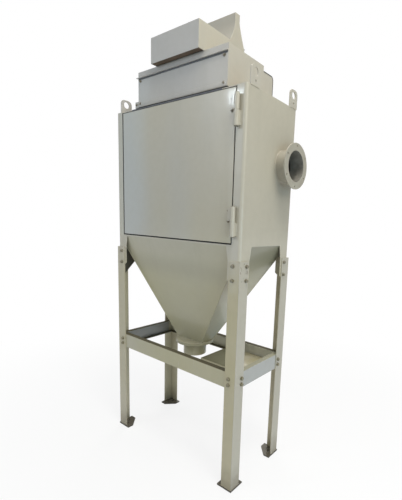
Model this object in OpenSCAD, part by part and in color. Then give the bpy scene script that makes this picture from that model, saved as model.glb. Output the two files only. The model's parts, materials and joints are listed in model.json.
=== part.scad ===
// Cartridge dust collector: a sheet metal cabinet with a hopper on four bolted legs,
// a clean air plenum with a fan stack on top, a round flanged inlet in the right side
// and a full height access door on barrel hinges.
// X runs to the right along the front, Y runs into the depth, Z runs up from the floor.

/* [Cabinet] */
// Width of the cabinet
cab_w = 1140; // [900:10:1400]
// Depth of the cabinet
cab_d = 510; // [450:10:800]
// Height of the cabinet
cab_h = 840; // [780:10:1100]
// Height of the cabinet's bottom edge above the floor
cab_z = 1500; // [1400:10:1700]
// Thickness of the cabinet's sheet
sheet_t = 4; // [2:0.5:6]
// Outer radius of the bent corners of the cabinet
bend_r = 18; // [8:1:30]
// Width of the front stiles beside the door
stile_w = 66; // [50:1:90]
// Height of the sill below the door
sill_h = 12; // [8:1:30]
// Width of the rear returns of the side panels
rear_return_w = 60; // [40:1:90]
// Thickness of the tube sheet that closes the top of the cabinet
tube_t = 5; // [3:0.5:8]

/* [Door] */
// Running gap round the door
door_gap = 6; // [5:0.5:10]
// Thickness of the door's sheet
door_t = 3; // [2:0.5:5]
// Depth of the door's folded edges
door_edge = 28; // [18:1:40]
// Diameter of the hinge barrels
barrel_d = 28; // [18:1:36]
// Length of each hinge barrel
barrel_len = 160; // [100:5:220]
// Diameter of the hinge pins
pin_d = 14; // [8:1:18]
// How far the hinge axis stands in front of the door's face
axis_proud = 18; // [15:1:25]
// Distance of each hinge's middle from its end of the door
hinge_inset = 118; // [100:1:250]
// Distance of the hinge axis from the stile's edge, out over the stile
hinge_out = 18; // [15:1:30]
// Running gap between the two halves of a hinge
knuckle_gap = 1; // [0.5:0.5:3]
// Thickness of the door's seal
seal_t = 10; // [5:1:16]
// Width of the door's seal
seal_w = 22; // [12:1:30]

/* [Legs] */
// Width of the flanges of the leg angles
leg_w = 80; // [60:1:100]
// Thickness of the leg angles
leg_t = 6; // [4:0.5:10]
// Width of the dark gusset plates inside the left leg stubs
gusset_w = 107; // [60:1:120]
// Height of the gusset plates' lowest corner above the floor
gusset_z = 1191; // [1150:1:1300]
// Height of the top of the leg angles above the floor
leg_top = 1420; // [1350:5:1600]
// Width of the side panels' leg stubs where they leave the cabinet
stub_w = 104; // [85:1:140]
// Width of the leg stubs where the leg angles start
stub_low_w = 89; // [80:1:110]
// Length over which the leg stubs and the leg angles overlap
splice_len = 158; // [120:1:250]
// Side of the square foot plates
foot_w = 112; // [90:1:150]
// Thickness of the foot plates
foot_t = 10; // [6:1:16]
// How far the foot plates stand out past the legs
foot_lip = 4; // [0:1:10]
// Diameter of the anchor holes in the foot plates
anchor_d = 14; // [8:1:20]
// Distance of each anchor hole from the nearer outer edge of its foot plate
anchor_near = 36; // [30:1:45]
// Distance of each anchor hole from the other outer edge of its foot plate
anchor_far = 62; // [50:1:75]

/* [Brace frame] */
// Height of the brace rails' top edge above the floor
rail_top = 760; // [500:10:850]
// Height of the brace rails
rail_h = 102; // [60:1:140]
// Width of the brace rails' flanges
rail_flange = 38; // [25:1:50]
// Thickness of the brace rails
rail_t = 5; // [3:0.5:8]
// Depth of the deck plate from the rear rail
deck_d = 312; // [200:5:330]
// Length of the deck plate from the right rail
deck_l = 462; // [300:5:470]
// Height of the deck plate's folded edges
deck_h = 18; // [10:1:30]

/* [Hopper] */
// Height of the hopper's lower end above the floor
hopper_z = 795; // [700:5:900]
// Width of the hopper's lower end
hopper_out_w = 236; // [180:2:300]
// Depth of the hopper's lower end
hopper_out_d = 108; // [100:2:200]
// How far the hopper's lower end lies in front of the cabinet's middle
hopper_fore = 18; // [0:1:40]
// Thickness of the hopper's sheet
hopper_t = 4; // [2:0.5:6]
// Outer diameter of the outlet flange
outlet_flange_d = 266; // [250:2:320]
// Height of the outlet flange's rim
outlet_flange_h = 20; // [10:1:40]
// Outer diameter of the outlet collar
outlet_d = 162; // [120:2:180]
// Length of the outlet collar below its flange
outlet_len = 88; // [50:2:100]
// Wall of the outlet collar
outlet_wall = 3; // [2:0.5:5]

/* [Inlet] */
// Outer diameter of the inlet flange
inlet_flange_d = 266; // [240:2:320]
// Bore of the inlet collar
inlet_bore = 178; // [120:2:200]
// Wall of the inlet collar
inlet_wall = 4; // [2:0.5:6]
// Thickness of the inlet flange
inlet_flange_t = 8; // [5:1:14]
// How far the inlet flange's face stands out from the side panel
inlet_len = 90; // [60:2:160]
// Distance of the inlet's axis behind the cabinet's middle
inlet_y = 136; // [60:1:140]
// Height of the inlet's axis above the cabinet's bottom edge
inlet_up = 481; // [300:1:600]
// Diameter of the circle of bolt holes in the inlet flange
inlet_pcd = 233; // [210:1:290]
// Diameter of the bolt holes in the inlet flange
inlet_hole_d = 11; // [6:1:14]
// Number of bolt holes in the inlet flange
inlet_holes = 6; // [4:1:12]

/* [Filters] */
// Number of filter cartridges
filter_n = 2; // [1:1:2]
// Distance between the cartridges' axes
filter_pitch = 380; // [340:5:400]
// Outer diameter of the pleated media
filter_d = 310; // [250:5:320]
// Length of the filter cartridges
filter_len = 640; // [400:10:660]
// Pleats round each cartridge
filter_pleats = 64; // [24:4:90]
// Depth of the pleats
pleat_depth = 30; // [15:1:50]
// Height of the cartridges' end caps
cap_h = 16; // [8:1:30]

/* [Plenum] */
// Width of the plenum
plenum_w = 790; // [600:10:900]
// Depth of the plenum
plenum_d = 434; // [380:2:600]
// Distance of the plenum's front behind the cabinet's front
plenum_set = 50; // [20:1:90]
// Height of the plenum's front part above the cabinet's top
plenum_h = 245; // [180:5:350]
// Depth of the taller front part of the plenum
plenum_front_d = 330; // [250:5:350]
// Drop from the taller front part to the rear part of the plenum
plenum_drop = 33; // [15:1:80]
// Radius of the plenum's bent rear top edge
plenum_bend = 20; // [8:1:30]
// Height of the recessed seal strip below the plenum
plenum_neck = 28; // [12:1:50]
// Height of the strip with the drip lip above the access panel
strip_h = 36; // [20:1:60]
// How far the drip lip stands out
drip_lip = 12; // [6:1:25]

/* [Fan stack and hood] */
// Width of the exhaust hood and the stack
hood_w = 418; // [300:2:560]
// Height of the exhaust hood
hood_h = 148; // [100:2:220]
// How far the hood hangs out in front of the plenum
hood_over = 42; // [20:1:90]
// Distance from the plenum's front to the hood's back end
hood_d = 222; // [180:2:260]
// Height of the stack above the hood
stack_h = 170; // [80:5:300]
// Depth of the stack at its top
stack_top_d = 42; // [30:1:80]
// Depth of the stack's flared foot
stack_foot_d = 138; // [100:2:180]
// Thickness of the brown panel that closes the hood's overhang from below
liner_t = 12; // [6:1:25]

/* [Lifting lugs] */
// Width of the lifting lugs
lug_w = 84; // [60:1:90]
// Height of the lifting lugs above the cabinet's top
lug_rise = 104; // [98:2:160]
// Thickness of the lifting lugs
lug_t = 8; // [5:1:14]
// Distance of a front lug's middle from the cabinet's front
lug_in_front = 72; // [45:1:90]
// Distance of a rear lug's middle from the cabinet's back
lug_in_rear = 45; // [45:1:90]
// Radius of the lifting lugs' upper corners
lug_round = 28; // [10:1:30]
// Diameter of the lifting eye
lug_eye_d = 42; // [16:1:46]
// Diameter of the small hole below the lifting eye
lug_hole_d = 13; // [8:1:18]
// Height of the lifting eye's middle above the cabinet's top
lug_eye_up = 72; // [70:1:74]
// Height of the small hole's middle above the cabinet's top
lug_hole_up = 27; // [15:1:34]

/* [Hidden] */
$fn = 48;

// Colours
c_paint = "#b9b4a2";
c_front = "#adaca4";
c_dark = "#3b352c";
c_media = "#d9d4c4";
c_steel = "#8d8d8a";
c_rubber = "#2c2c2c";

// Clearance between faces that would otherwise slide in each other
fit_gap = 0.3;
half_w = cab_w / 2;
half_d = cab_d / 2;
cab_top = cab_z + cab_h;
front_y = -half_d;
over = 1;
tiny = 0.01;

// Door and its opening
door_l = -half_w + stile_w + door_gap;
door_r = half_w - stile_w - door_gap;
door_b = cab_z + sill_h + door_gap;
door_tp = cab_top - tube_t - door_gap;
axis_x = half_w - stile_w + hinge_out;
axis_y = front_y - axis_proud;
hinge_zs = [door_b + hinge_inset, door_tp - hinge_inset];
pin_gap = 0.1;
wing_short = 4;
bar_t = 9;
hinge_foot_w = 12;
hinge_foot_in = 2;
frame_y = front_y + door_edge + door_gap + seal_t;
frame_in = 34;
frame_t = 4;

// Legs and brace
stub_tip_w = 26;
stub_tip_h = 46;
stub_z = leg_top - splice_len;
leg_out_x = half_w + leg_t;
leg_out_y = half_d + leg_t;
foot_cut = 0.4;
rail_bot = rail_top - rail_h;
deck_top = rail_bot + rail_t + deck_h;
deck_t = 3;

// Gussets
gusset_t = 4;
gusset_top = cab_z - 20;
gusset_y = -half_d + bend_r + 1;

// Hopper
hop_top = cab_z + sill_h - sheet_t - fit_gap;
hop_w = cab_w - 2 * sheet_t - 2 * fit_gap;
hop_d = cab_d - 2 * sheet_t - 2 * fit_gap;
rim_t = 5;
outlet_bot = hopper_z - outlet_flange_h - outlet_len;

// Inlet
inlet_z = cab_z + inlet_up;
inlet_face_x = half_w + inlet_len;
inlet_od = inlet_bore + 2 * inlet_wall;

// Tube sheet and filters
tube_z = cab_top - tube_t;
filter_y = (frame_y + frame_t + half_d - sheet_t) / 2;
mouth_d = filter_d - 2 * pleat_depth - 30;
cap_lip = 4;
media_t = 8;

// Plenum
pl_front = front_y + plenum_set;
pl_back = pl_front + plenum_d;
pl_mid = pl_front + plenum_front_d;
pl_base = cab_top + plenum_neck;
pl_top = cab_top + plenum_h;
pl_low = pl_top - plenum_drop;
pl_t = 3;
pl_half = plenum_w / 2;
strip_z = pl_top - strip_h;
lip_t = 4;
lip_side = 8;
neck_in = 14;
neck_w = 30;

// Hood and stack
hood_half = hood_w / 2;
hood_t = 3;
liner_up = 2;
neck_place = 0.45;
flare_front = 1.8;
flare_rear = 1.2;
hood_front = pl_front - hood_over;
hood_back = pl_front + hood_d;
hood_top = pl_top + hood_h;
stack_top = hood_top + stack_h;
stack_foot_f = hood_back + fit_gap;
stack_neck_f = stack_foot_f + (stack_foot_d - stack_top_d) * neck_place;
stack_flare_h = 125;

// The origin is at the floor, under the middle of the box round the whole machine
box_right = inlet_face_x;
box_left = -leg_out_x - foot_lip;
box_front = axis_y - barrel_d / 2;
box_back = leg_out_y + foot_lip;
mid_x = (box_right + box_left) / 2;
mid_y = (box_front + box_back) / 2;

module at_frame() {
    translate([-mid_x, -mid_y, 0]) children();
}

// A box given by its lowest and highest corner
module block(a, b) {
    translate(a) cube(b - a);
}

// The outline of a side panel seen from above, for the right side, with its front and rear returns
module side_outline(front_w, rear_w) {
    difference() {
        translate([half_w - front_w, -half_d]) square([front_w, cab_d]);
        translate([half_w - front_w - over, -half_d + sheet_t])
            square([front_w - sheet_t + over, cab_d - 2 * sheet_t]);
        translate([half_w - front_w - over, half_d - sheet_t - over])
            square([front_w - rear_w + over, sheet_t + 2 * over]);
        for (s = [-1, 1])
            translate([half_w - bend_r, s > 0 ? half_d - bend_r : -half_d - over])
                square([bend_r + over, bend_r + over]);
    }
    for (s = [-1, 1])
        intersection() {
            translate([half_w - bend_r, s * (half_d - bend_r)]) difference() {
                circle(r = bend_r);
                circle(r = bend_r - sheet_t);
            }
            translate([half_w - bend_r, s > 0 ? half_d - bend_r : -half_d]) square([bend_r, bend_r]);
        }
}

// What is cut away between the leg stubs, seen from the side
module stub_gap_side() {
    polygon([[-half_d + stub_w, cab_z], [half_d - stub_w, cab_z], [half_d - stub_low_w, leg_top],
        [half_d - stub_low_w, stub_z + stub_tip_h], [half_d - stub_tip_w, stub_z - over],
        [-half_d + stub_tip_w, stub_z - over], [-half_d + stub_low_w, stub_z + stub_tip_h],
        [-half_d + stub_low_w, leg_top]]);
}

// What is cut away beside a stub, seen from the front
module stub_gap_front() {
    polygon([[half_w - stub_w - over, cab_z], [half_w - stub_w, cab_z], [half_w - stub_low_w, leg_top],
        [half_w - stub_low_w, stub_z + stub_tip_h], [half_w - stub_tip_w, stub_z - over],
        [half_w - stub_w - over, stub_z - over]]);
}

module side_panel() {
    translate([0, 0, cab_z]) linear_extrude(cab_h) side_outline(stile_w, rear_return_w);
    difference() {
        translate([0, 0, stub_z]) linear_extrude(cab_z - stub_z) side_outline(stub_w, stub_w);
        translate([half_w - bend_r, 0, 0]) rotate([90, 0, 90]) linear_extrude(bend_r + over) stub_gap_side();
        translate([0, cab_d, 0]) rotate([90, 0, 0]) linear_extrude(2 * cab_d) stub_gap_front();
    }
}

module side_panel_left() {
    color(c_paint) at_frame() mirror([1, 0, 0]) side_panel();
}

module side_panel_right() {
    color(c_paint) at_frame() difference() {
        side_panel();
        translate([half_w - sheet_t - over, inlet_y, inlet_z]) rotate([0, 90, 0])
            cylinder(d = inlet_od + 2 * fit_gap, h = sheet_t + 2 * over);
    }
}

module back_panel() {
    color(c_paint) at_frame()
        block([-half_w + rear_return_w, half_d - sheet_t, cab_z], [half_w - rear_return_w, half_d, cab_top]);
}

module front_sill() {
    color(c_paint) at_frame() {
        block([-half_w + stile_w, front_y, cab_z], [half_w - stile_w, front_y + sheet_t, cab_z + sill_h]);
        block([-half_w + stile_w, front_y + sheet_t, cab_z + sill_h - sheet_t],
            [half_w - stile_w, frame_y + frame_t, cab_z + sill_h]);
    }
}

module door_frame() {
    color(c_paint) at_frame() difference() {
        block([-half_w + sheet_t + fit_gap, frame_y, cab_z + sill_h],
            [half_w - sheet_t - fit_gap, frame_y + frame_t, tube_z - fit_gap]);
        block([door_l + frame_in, frame_y - over, door_b + frame_in],
            [door_r - frame_in, frame_y + frame_t + over, door_tp - frame_in]);
    }
}

module tube_sheet() {
    color(c_paint) at_frame() difference() {
        translate([0, 0, tube_z]) linear_extrude(tube_t) inside_outline();
        filter_places() cylinder(d = mouth_d, h = 4 * tube_t, center = true);
    }
}

module filter_places() {
    for (i = [0 : filter_n - 1])
        translate([(i - (filter_n - 1) / 2) * filter_pitch, filter_y, tube_z]) children();
}

// The pleated outline of one cartridge's media
module pleats() {
    n = filter_pleats;
    ro = filter_d / 2;
    difference() {
        polygon([for (i = [0 : 2 * n - 1])
            let (r = i % 2 == 0 ? ro : ro - pleat_depth, a = 180 * i / n)
            [r * cos(a), r * sin(a)]]);
        circle(r = ro - pleat_depth - media_t);
    }
}

module filter_media() {
    color(c_media) at_frame() filter_places()
        translate([0, 0, -fit_gap - filter_len + cap_h]) linear_extrude(filter_len - 2 * cap_h) pleats();
}

module filter_caps() {
    color(c_steel) at_frame() filter_places() {
        translate([0, 0, -fit_gap - cap_h]) difference() {
            cylinder(d = filter_d + 2 * cap_lip, h = cap_h);
            translate([0, 0, -over]) cylinder(d = mouth_d, h = cap_h + 2 * over);
        }
        translate([0, 0, -fit_gap - filter_len]) cylinder(d = filter_d + 2 * cap_lip, h = cap_h);
    }
}

// A four sided funnel between a low rectangle, moved forwards by fore, and a high one
module funnel(w1, d1, z1, w2, d2, z2, fore) {
    polyhedron(
        points = [[-w1 / 2, -d1 / 2 - fore, z1], [w1 / 2, -d1 / 2 - fore, z1],
            [w1 / 2, d1 / 2 - fore, z1], [-w1 / 2, d1 / 2 - fore, z1],
            [-w2 / 2, -d2 / 2, z2], [w2 / 2, -d2 / 2, z2], [w2 / 2, d2 / 2, z2], [-w2 / 2, d2 / 2, z2]],
        faces = [[0, 1, 2, 3], [7, 6, 5, 4], [0, 4, 5, 1], [1, 5, 6, 2], [2, 6, 7, 3], [3, 7, 4, 0]]);
}

// The room inside the side panels' bent corners, seen from above
module inside_outline() {
    r = bend_r - sheet_t;
    difference() {
        square([hop_w, hop_d], center = true);
        for (sx = [-1, 1], sy = [-1, 1]) translate([sx * (hop_w / 2 - r), sy * (hop_d / 2 - r)]) difference() {
            translate([sx > 0 ? 0 : -r - over, sy > 0 ? 0 : -r - over]) square(r + over);
            circle(r = r);
        }
    }
}

module hopper() {
    t2 = 2 * hopper_t;
    color(c_paint) at_frame() difference() {
        intersection() {
            translate([0, 0, outlet_bot]) linear_extrude(hop_top - outlet_bot) inside_outline();
            union() {
                funnel(hopper_out_w, hopper_out_d, hopper_z, hop_w, hop_d, cab_z, hopper_fore);
                translate([-hop_w / 2, -hop_d / 2, cab_z]) cube([hop_w, hop_d, hop_top - cab_z]);
            }
        }
        funnel(hopper_out_w - t2, hopper_out_d - t2, hopper_z - tiny, hop_w - t2, hop_d - t2, cab_z, hopper_fore);
        translate([-hop_w / 2 + hopper_t, -hop_d / 2 + hopper_t, cab_z - tiny])
            cube([hop_w - t2, hop_d - t2, hop_top - cab_z + over]);
    }
}

module outlet_flange() {
    ro = outlet_flange_d / 2;
    ri = hopper_out_d / 2 - hopper_t;
    color(c_paint) at_frame() translate([0, -hopper_fore, hopper_z - outlet_flange_h]) rotate_extrude($fn = 96)
        polygon([[ri, outlet_flange_h - rim_t], [ro - rim_t, outlet_flange_h - rim_t], [ro - rim_t, 0],
            [ro, 0], [ro, outlet_flange_h], [ri, outlet_flange_h]]);
}

module outlet_collar() {
    h = outlet_len + outlet_flange_h - rim_t;
    color(c_paint) at_frame() translate([0, -hopper_fore, outlet_bot]) difference() {
        cylinder(d = outlet_d, h = h);
        translate([0, 0, -over]) cylinder(d = outlet_d - 2 * outlet_wall, h = h + 2 * over);
    }
}

module on_inlet_axis(x) {
    translate([x, inlet_y, inlet_z]) rotate([0, 90, 0]) children();
}

module inlet_collar() {
    color(c_paint) at_frame() on_inlet_axis(half_w - sheet_t) difference() {
        cylinder(d = inlet_od, h = inlet_len + sheet_t - inlet_flange_t, $fn = 96);
        translate([0, 0, -over]) cylinder(d = inlet_bore, h = inlet_len + sheet_t + 2 * over, $fn = 96);
    }
}

module inlet_flange() {
    color(c_paint) at_frame() on_inlet_axis(inlet_face_x - inlet_flange_t) difference() {
        cylinder(d = inlet_flange_d, h = inlet_flange_t, $fn = 96);
        translate([0, 0, -over]) cylinder(d = inlet_bore, h = inlet_flange_t + 2 * over, $fn = 96);
        for (i = [0 : inlet_holes - 1])
            rotate([0, 0, 180 + 360 * i / inlet_holes]) translate([inlet_pcd / 2, 0, -over])
                cylinder(d = inlet_hole_d, h = inlet_flange_t + 2 * over);
    }
}

// One leg at the front right corner, with its foot plate
module leg() {
    difference() {
        block([leg_out_x - leg_w, -leg_out_y, foot_t], [leg_out_x, -leg_out_y + leg_w, leg_top]);
        block([leg_out_x - leg_w - over, -leg_out_y + leg_t, foot_t - over],
            [leg_out_x - leg_t, -leg_out_y + leg_w + over, leg_top + over]);
    }
    translate([leg_out_x + foot_lip, -leg_out_y - foot_lip, 0]) difference() {
        linear_extrude(foot_t) polygon([[0, 0], [0, foot_w], [-foot_w * foot_cut, foot_w],
            [-foot_w, foot_w * foot_cut], [-foot_w, 0]]);
        for (p = [[-anchor_near, anchor_far], [-anchor_far, anchor_near]])
            translate([p[0], p[1], -over]) cylinder(d = anchor_d, h = foot_t + 2 * over);
    }
}

// A dark plate behind the side of the front left leg stub, with its lower edge at 45 degrees
module gusset() {
    translate([-half_w + sheet_t + fit_gap, 0, 0]) rotate([90, 0, 90]) linear_extrude(gusset_t)
        polygon([[gusset_y, gusset_z], [gusset_y + gusset_w, gusset_z + gusset_w],
            [gusset_y + gusset_w, gusset_top], [gusset_y, gusset_top]]);
}

module gusset_front_left() {
    color(c_dark) at_frame() gusset();
}

module gusset_rear_left() {
    color(c_dark) at_frame() mirror([0, 1, 0]) gusset();
}

module leg_front_left() {
    color(c_paint) at_frame() mirror([1, 0, 0]) leg();
}

module leg_front_right() {
    color(c_paint) at_frame() leg();
}

module leg_rear_left() {
    color(c_paint) at_frame() mirror([1, 0, 0]) mirror([0, 1, 0]) leg();
}

module leg_rear_right() {
    color(c_paint) at_frame() mirror([0, 1, 0]) leg();
}

// A channel with its web towards -Y and its flanges pointing inwards
module channel(len) {
    translate([-len / 2, 0, rail_bot]) difference() {
        cube([len, rail_flange, rail_h]);
        translate([-over, rail_t, rail_t]) cube([len + 2 * over, rail_flange, rail_h - 2 * rail_t]);
    }
}

module rail_front() {
    color(c_paint) at_frame() translate([0, -half_d, 0]) channel(cab_w - 2 * fit_gap);
}

module rail_rear() {
    color(c_paint) at_frame() mirror([0, 1, 0]) translate([0, -half_d, 0]) channel(cab_w - 2 * fit_gap);
}

module rail_right() {
    color(c_paint) at_frame() translate([half_w, 0, 0]) rotate([0, 0, 90])
        channel(cab_d - 2 * rail_flange - 2 * fit_gap);
}

module rail_left() {
    color(c_paint) at_frame() mirror([1, 0, 0]) translate([half_w, 0, 0]) rotate([0, 0, 90])
        channel(cab_d - 2 * rail_flange - 2 * fit_gap);
}

module deck_plate() {
    x2 = half_w - rail_t - fit_gap;
    y2 = half_d - rail_t - fit_gap;
    z1 = deck_top - deck_h;
    color(c_paint) at_frame() difference() {
        block([x2 - deck_l, y2 - deck_d, z1], [x2, y2, deck_top]);
        block([x2 - deck_l + deck_t, y2 - deck_d + deck_t, z1 - over], [x2 - deck_t, y2 - deck_t, deck_top - deck_t]);
    }
}

// One lug that stands on the top edge of the side panel at the front right corner
module lug(inset) {
    translate([half_w - lug_t, -half_d + inset, cab_top]) rotate([90, 0, 90]) difference() {
        linear_extrude(lug_t) difference() {
            translate([-lug_w / 2, 0]) square([lug_w, lug_rise]);
            for (s = [-1, 1]) translate([s * (lug_w / 2 - lug_round), lug_rise - lug_round]) difference() {
                translate([s > 0 ? 0 : -lug_round - over, 0]) square(lug_round + over);
                circle(r = lug_round);
            }
        }
        translate([0, lug_eye_up, -over]) cylinder(d = lug_eye_d, h = lug_t + 2 * over);
        translate([0, lug_hole_up, -over]) cylinder(d = lug_hole_d, h = lug_t + 2 * over);
    }
}

module lug_front_left() {
    color(c_paint) at_frame() mirror([1, 0, 0]) lug(lug_in_front);
}

module lug_front_right() {
    color(c_paint) at_frame() lug(lug_in_front);
}

module lug_rear_left() {
    color(c_paint) at_frame() mirror([1, 0, 0]) mirror([0, 1, 0]) lug(lug_in_rear);
}

module lug_rear_right() {
    color(c_paint) at_frame() mirror([0, 1, 0]) lug(lug_in_rear);
}

module plenum_neck_frame() {
    color(c_dark) at_frame() difference() {
        block([-pl_half + neck_in, pl_front + neck_in, cab_top], [pl_half - neck_in, pl_back - neck_in, pl_base]);
        block([-pl_half + neck_in + neck_w, pl_front + neck_in + neck_w, cab_top - over],
            [pl_half - neck_in - neck_w, pl_back - neck_in - neck_w, pl_base + over]);
    }
}

module plenum_floor() {
    color(c_paint) at_frame() difference() {
        block([-pl_half + pl_t, pl_front + pl_t, pl_base], [pl_half - pl_t, pl_back - pl_t, pl_base + pl_t]);
        block([-pl_half + neck_in + neck_w, pl_front + neck_in + neck_w, pl_base - over],
            [pl_half - neck_in - neck_w, pl_back - neck_in - neck_w, pl_base + pl_t + over]);
    }
}

// Side of the plenum seen from the right
module plenum_side_outline() {
    n = 6;
    polygon(concat([[pl_front, pl_base], [pl_back, pl_base]],
        [for (i = [0 : n]) let (a = 90 * i / n)
            [pl_back - plenum_bend * (1 - cos(a)), pl_low - plenum_bend * (1 - sin(a))]],
        [[pl_mid, pl_low], [pl_mid, pl_top], [pl_front, pl_top]]));
}

module plenum_side_right() {
    color(c_paint) at_frame() translate([pl_half - pl_t, 0, 0]) rotate([90, 0, 90])
        linear_extrude(pl_t) plenum_side_outline();
}

module plenum_side_left() {
    color(c_paint) at_frame() translate([-pl_half, 0, 0]) rotate([90, 0, 90])
        linear_extrude(pl_t) plenum_side_outline();
}

module plenum_back() {
    color(c_paint) at_frame()
        block([-pl_half + pl_t, pl_back - pl_t, pl_base], [pl_half - pl_t, pl_back, pl_low - plenum_bend]);
}

module plenum_top() {
    color(c_paint) at_frame() {
        block([-pl_half + pl_t, pl_mid, pl_low - pl_t], [pl_half - pl_t, pl_back - plenum_bend, pl_low]);
        block([-pl_half + pl_t, pl_mid - pl_t, pl_low - pl_t], [pl_half - pl_t, pl_mid, pl_top - pl_t]);
        block([-pl_half + pl_t, pl_front + pl_t, pl_top - pl_t], [pl_half - pl_t, pl_mid, pl_top]);
        translate([-pl_half + pl_t, pl_back - plenum_bend, pl_low - plenum_bend]) rotate([90, 0, 90])
            linear_extrude(plenum_w - 2 * pl_t) intersection() {
                difference() {
                    circle(r = plenum_bend);
                    circle(r = plenum_bend - pl_t);
                }
                square(plenum_bend + over);
            }
    }
}

module drip_strip() {
    color(c_front) at_frame() {
        block([-pl_half + pl_t, pl_front, strip_z], [pl_half - pl_t, pl_front + pl_t, pl_top]);
        block([-pl_half - lip_side, pl_front - drip_lip, strip_z - lip_t], [pl_half, pl_front, strip_z]);
        block([-pl_half + pl_t, pl_front - over, strip_z - lip_t], [pl_half - pl_t, pl_front + pl_t, strip_z]);
    }
}

module access_panel() {
    color(c_front) at_frame()
        block([-pl_half + pl_t + fit_gap, pl_front - 1, pl_base],
            [pl_half - pl_t - fit_gap, pl_front + pl_t, strip_z - lip_t - fit_gap]);
}

module exhaust_hood() {
    t = hood_t;
    color(c_front) at_frame() difference() {
        block([-hood_half, hood_front, pl_top], [hood_half, hood_back, hood_top]);
        block([-hood_half + t, hood_front + t, pl_top - over], [hood_half - t, hood_back - t, hood_top - t]);
    }
}

module hood_liner() {
    t = hood_t + fit_gap;
    color(c_dark) at_frame() block([-hood_half + t, hood_front + t, pl_top + liner_up],
        [hood_half - t, pl_front - fit_gap, pl_top + liner_up + liner_t]);
}

// Profile of the stack seen from the right: a flared foot under a thin upright neck
module stack_outline() {
    f0 = stack_foot_f;
    b0 = stack_foot_f + stack_foot_d;
    f1 = stack_neck_f;
    b1 = f1 + stack_top_d;
    n = 6;
    polygon(concat(
        [[f0, pl_top], [pl_mid + fit_gap, pl_top], [pl_mid + fit_gap, pl_low], [b0, pl_low]],
        [for (i = [0 : n]) let (u = i / n) [b1 + (b0 - b1) * pow(1 - u, flare_rear), hood_top + stack_flare_h * u]],
        [[b1, stack_top], [f1, stack_top]],
        [for (i = [0 : n]) let (u = i / n) [f0 + (f1 - f0) * (1 - pow(u, flare_front)), hood_top + stack_flare_h * (1 - u)]]));
}

module blower_stack() {
    color(c_front) at_frame() translate([-hood_half, 0, 0]) rotate([90, 0, 90])
        linear_extrude(hood_w) stack_outline();
}

module door_panel() {
    color(c_front) at_frame() difference() {
        block([door_l, front_y, door_b], [door_r, front_y + door_edge, door_tp]);
        block([door_l + door_t, front_y + door_t, door_b + door_t],
            [door_r - door_t, front_y + door_edge + over, door_tp - door_t]);
    }
}

module door_seal() {
    y1 = front_y + door_edge;
    color(c_rubber) at_frame() difference() {
        block([door_l, y1, door_b], [door_r, y1 + seal_t, door_tp]);
        block([door_l + seal_w, y1 - over, door_b + seal_w],
            [door_r - seal_w, y1 + seal_t + over, door_tp - seal_w]);
    }
}

// Half of a hinge: a barrel on the axis with the metal that joins it to the door or to the stile
module hinge_half(z1, z2) {
    difference() {
        union() {
            translate([axis_x, axis_y, z1]) cylinder(d = barrel_d, h = z2 - z1);
            translate([0, 0, z1 + wing_short]) linear_extrude(z2 - z1 - 2 * wing_short) children();
        }
        translate([axis_x, axis_y, z1 - over]) cylinder(d = pin_d + 2 * pin_gap, h = z2 - z1 + 2 * over);
    }
}

module hinge_door_halves() {
    foot_x = door_r - hinge_foot_in - hinge_foot_w;
    color(c_paint) at_frame() for (z = hinge_zs)
        hinge_half(z + knuckle_gap / 2, z + barrel_len / 2) {
            translate([foot_x, axis_y]) square([axis_x - foot_x, bar_t]);
            translate([foot_x, axis_y]) square([hinge_foot_w, axis_proud]);
        }
}

module hinge_frame_halves() {
    color(c_paint) at_frame() for (z = hinge_zs)
        hinge_half(z - barrel_len / 2, z - knuckle_gap / 2)
            translate([axis_x, axis_y]) square([barrel_d / 2, axis_proud]);
}

module hinge_pins() {
    color(c_steel) at_frame() for (z = hinge_zs)
        translate([axis_x, axis_y, z - barrel_len / 2]) cylinder(d = pin_d, h = barrel_len - wing_short);
}

side_panel_left();
side_panel_right();
back_panel();
front_sill();
door_frame();
tube_sheet();
filter_media();
filter_caps();
hopper();
outlet_flange();
outlet_collar();
inlet_collar();
inlet_flange();
gusset_front_left();
gusset_rear_left();
leg_front_left();
leg_front_right();
leg_rear_left();
leg_rear_right();
rail_front();
rail_rear();
rail_left();
rail_right();
deck_plate();
lug_front_left();
lug_front_right();
lug_rear_left();
lug_rear_right();
plenum_neck_frame();
plenum_floor();
plenum_side_left();
plenum_side_right();
plenum_back();
plenum_top();
drip_strip();
access_panel();
exhaust_hood();
hood_liner();
blower_stack();
door_panel();
door_seal();
hinge_door_halves();
hinge_frame_halves();
hinge_pins();
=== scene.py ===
# %% [markdown]
# # A cartridge dust collector
# The machine is a folded sheet cabinet on four angle legs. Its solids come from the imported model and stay
# where they are. This script rounds their edges, adds the bolts, welds and trim that a maker would see, and
# paints everything.

import json
import math

import bmesh
import bpy
from mathutils import Matrix, Vector


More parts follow.
